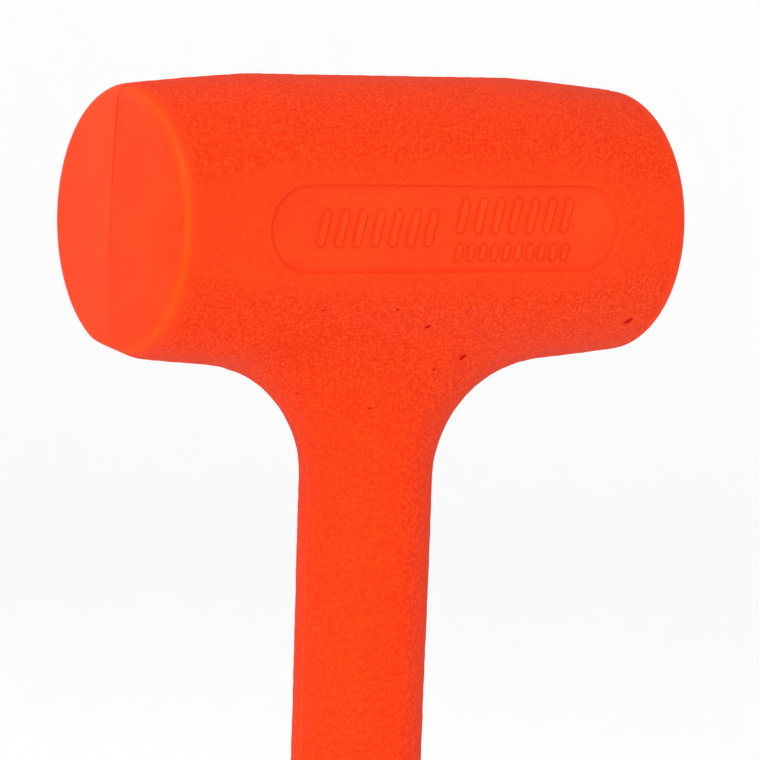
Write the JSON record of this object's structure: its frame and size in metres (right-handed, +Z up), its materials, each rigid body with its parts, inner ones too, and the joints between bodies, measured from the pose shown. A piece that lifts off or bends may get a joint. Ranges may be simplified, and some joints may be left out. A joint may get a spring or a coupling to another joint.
{
  "type": "dead blow mallet",
  "caption": "One-hand dead blow mallet: a shot-filled steel canister on a steel rod, cast inside a one-piece orange urethane casing with two domed faces.",
  "frame": {"origin": "centre of the flat end of the butt, with the mallet standing on it", "axes": "+Z up the handle towards the head; +X along the head towards one striking face; -Y out of the side land with the recessed panel that is seen first"},
  "size_m": [0.0928, 0.0412, 0.292],
  "materials": {
    "urethane": "satin",
    "steel": "satin",
    "weld_metal": "matte",
    "shot_steel": "polished"
  },
  "bodies": {
    "mallet": {"casing": "urethane", "butt_plug": "urethane", "canister_tube": "steel", "canister_cap_left": "steel", "canister_cap_right": "steel", "handle_rod": "steel", "rod_weld": "weld_metal"},
    "shot_charge": {"shot_1": "shot_steel", "shot_2": "shot_steel", "shot_3": "shot_steel", "shot_4": "shot_steel", "shot_5": "shot_steel", "shot_6": "shot_steel", "shot_7": "shot_steel", "shot_8": "shot_steel", "shot_9": "shot_steel", "shot_10": "shot_steel", "shot_11": "shot_steel", "shot_12": "shot_steel", "shot_13": "shot_steel", "shot_14": "shot_steel", "shot_15": "shot_steel", "shot_16": "shot_steel", "shot_17": "shot_steel", "shot_18": "shot_steel", "shot_19": "shot_steel", "shot_20": "shot_steel", "shot_21": "shot_steel", "shot_22": "shot_steel", "shot_23": "shot_steel", "shot_24": "shot_steel", "shot_25": "shot_steel", "shot_26": "shot_steel", "shot_27": "shot_steel", "shot_28": "shot_steel", "shot_29": "shot_steel", "shot_30": "shot_steel", "shot_31": "shot_steel", "shot_32": "shot_steel", "shot_33": "shot_steel", "shot_34": "shot_steel", "shot_35": "shot_steel", "shot_36": "shot_steel", "shot_37": "shot_steel", "shot_38": "shot_steel", "shot_39": "shot_steel", "shot_40": "shot_steel", "shot_41": "shot_steel", "shot_42": "shot_steel"}
  },
  "joints": [
    {"name": "shot_slide", "type": "slide", "parent": "mallet", "child": "shot_charge", "axis": [1, 0, 0], "range_m": [-0.0032, 0.0032]}
  ]
}
